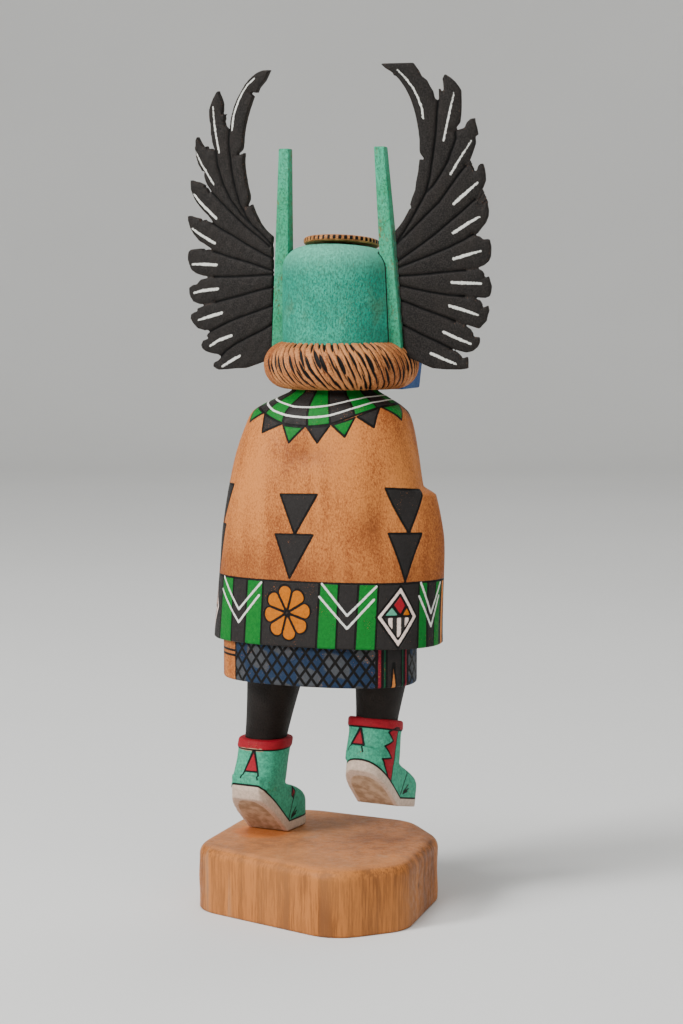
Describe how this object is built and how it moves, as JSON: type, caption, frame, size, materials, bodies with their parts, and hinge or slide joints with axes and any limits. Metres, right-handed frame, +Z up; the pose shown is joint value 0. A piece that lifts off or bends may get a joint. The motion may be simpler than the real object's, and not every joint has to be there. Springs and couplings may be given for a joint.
{
  "type": "kachina doll",
  "caption": "Carved and painted wooden kachina doll dancing on one foot on a wooden base, with a case mask, two feathered wings and posts, a rolled ruff, a cape with a painted border and boots.",
  "frame": {"origin": "on the underside of the base, straight below the middle of the mask", "axes": "+Z up; the doll faces -Y, so +Y is its back; +X is the doll's left side"},
  "size_m": [0.1184, 0.0917, 0.3032],
  "materials": {
    "base_wood": "smooth natural wood, thinly oiled",
    "carved_figure": "oiled wood with matt paint and burnt outlines",
    "crown_wood": "oiled wood with black marks",
    "turquoise_paint": "matt worn paint",
    "black_paint": "matt paint with white shaft marks"
  },
  "bodies": {
    "root": {"base": "base_wood", "figure": "carved_figure", "crown": "crown_wood", "post_left": "turquoise_paint", "post_right": "turquoise_paint", "wing_left": "black_paint", "wing_right": "black_paint"}
  },
  "joints": []
}
